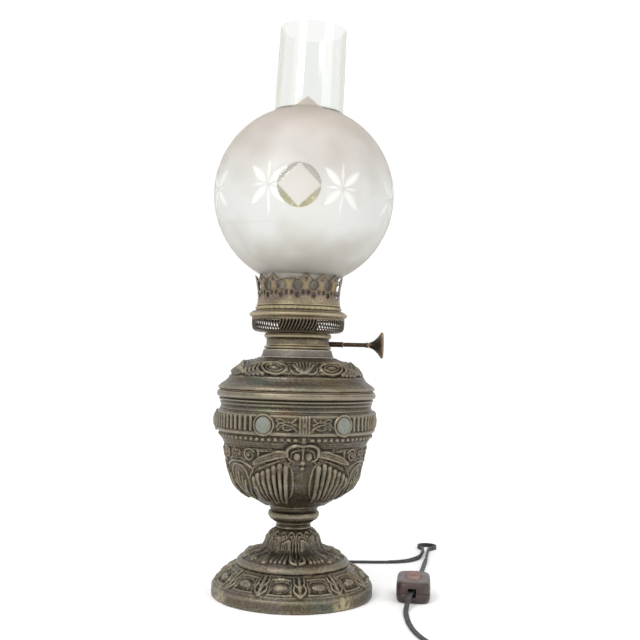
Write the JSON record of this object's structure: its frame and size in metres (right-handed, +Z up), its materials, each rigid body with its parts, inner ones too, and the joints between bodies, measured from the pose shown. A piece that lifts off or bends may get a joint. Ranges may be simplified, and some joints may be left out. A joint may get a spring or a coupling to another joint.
{
  "type": "oil lamp",
  "caption": "Ornate metal table lamp of oil-lamp form: cast foot and vase, drop-in font, round burner with openwork gallery, ball-shaped chimney glass, and mains lead with switch and plug.",
  "frame": {"origin": "on the lamp's axis at the underside of the foot", "axes": "+Z up, -Y towards the front, +X towards the side that the wick knob points to"},
  "size_m": [0.2451, 0.4909, 0.5293],
  "materials": {
    "cast_spelter": "dark patina worn pale on the high spots",
    "collar_zinc": "dull grey",
    "aged_brass": "tarnished, satin",
    "dark_brass": "dark brown tarnish",
    "steel": "dull plated",
    "cabochon": "matt grey-green",
    "chimney_glass": "frosted ball with clear cut stars, clear tube",
    "bulb_glass": "clear",
    "holder": "dark brown",
    "bakelite": "brown bakelite",
    "rocker": "red-brown bakelite",
    "lead": "dark grey, satin"
  },
  "bodies": {
    "stand": {"foot": "cast_spelter", "foot_bell": "cast_spelter", "stem_neck": "cast_spelter", "stem_knop": "cast_spelter", "vase_bowl": "cast_spelter", "vase_band": "cast_spelter", "vase_rim": "cast_spelter", "cabochon_1": "cabochon", "cabochon_2": "cabochon", "cabochon_3": "cabochon", "cabochon_4": "cabochon", "cabochon_5": "cabochon", "cabochon_6": "cabochon", "tie_rod": "steel", "tie_washer_lower": "steel", "tie_nut_lower": "steel", "tie_washer_upper": "steel", "tie_nut_upper": "steel", "exit_bush": "lead", "inner_lead_stand": "lead", "lead_lamp_to_switch": "lead", "switch_base": "bakelite", "switch_cover": "bakelite", "switch_contact": "aged_brass", "switch_screw": "steel", "lead_switch_to_coil": "lead", "lead_coil": "lead", "lead_coil_to_plug": "lead", "plug_body": "bakelite", "plug_relief": "lead", "plug_pin_front": "aged_brass", "plug_pin_back": "aged_brass"},
    "font": {"font_tank": "aged_brass", "lid": "cast_spelter", "lid_collar": "collar_zinc", "burner_collar": "aged_brass", "burner_body": "aged_brass", "wick_tube": "aged_brass", "air_basket": "dark_brass", "basket_rim": "aged_brass", "shaft_sleeve": "aged_brass", "holder_pipe": "steel", "pipe_nut_lower": "steel", "pipe_nut_upper": "steel", "adapter_cap": "aged_brass", "bulb_holder": "holder", "inner_lead_font": "lead"},
    "bulb": {"bulb_cap": "aged_brass", "bulb_glass": "bulb_glass"},
    "wick_winder": {"wick_shaft": "dark_brass", "wick_knob": "dark_brass", "spiked_wheel_left": "aged_brass", "spiked_wheel_right": "aged_brass"},
    "gallery": {"gallery_band": "aged_brass", "crown": "aged_brass"},
    "glass": {"chimney_glass": "chimney_glass"},
    "rocker": {"switch_rocker": "rocker"}
  },
  "joints": [
    {"name": "font_lift", "type": "slide", "parent": "stand", "child": "font", "axis": [0, 0, 1], "range_m": [0, 0.09]},
    {"name": "bulb_turn", "type": "hinge", "parent": "font", "child": "bulb", "pos_m": [0, 0, 0.285], "axis": [0, 0, 1], "continuous": true},
    {"name": "wick_turn", "type": "hinge", "parent": "font", "child": "wick_winder", "pos_m": [0, 0.0195, 0.232], "axis": [1, 0, 0], "continuous": true},
    {"name": "gallery_lift", "type": "slide", "parent": "font", "child": "gallery", "axis": [0, 0, 1], "range_m": [0, 0.115]},
    {"name": "glass_lift", "type": "slide", "parent": "gallery", "child": "glass", "axis": [0, 0, 1], "range_m": [0, 0.12]},
    {"name": "rocker_rock", "type": "hinge", "parent": "stand", "child": "rocker", "pos_m": [0.1125, -0.004, 0.0146], "axis": [0.9936, -0.1132, 0], "range_deg": [-12, 0]}
  ]
}
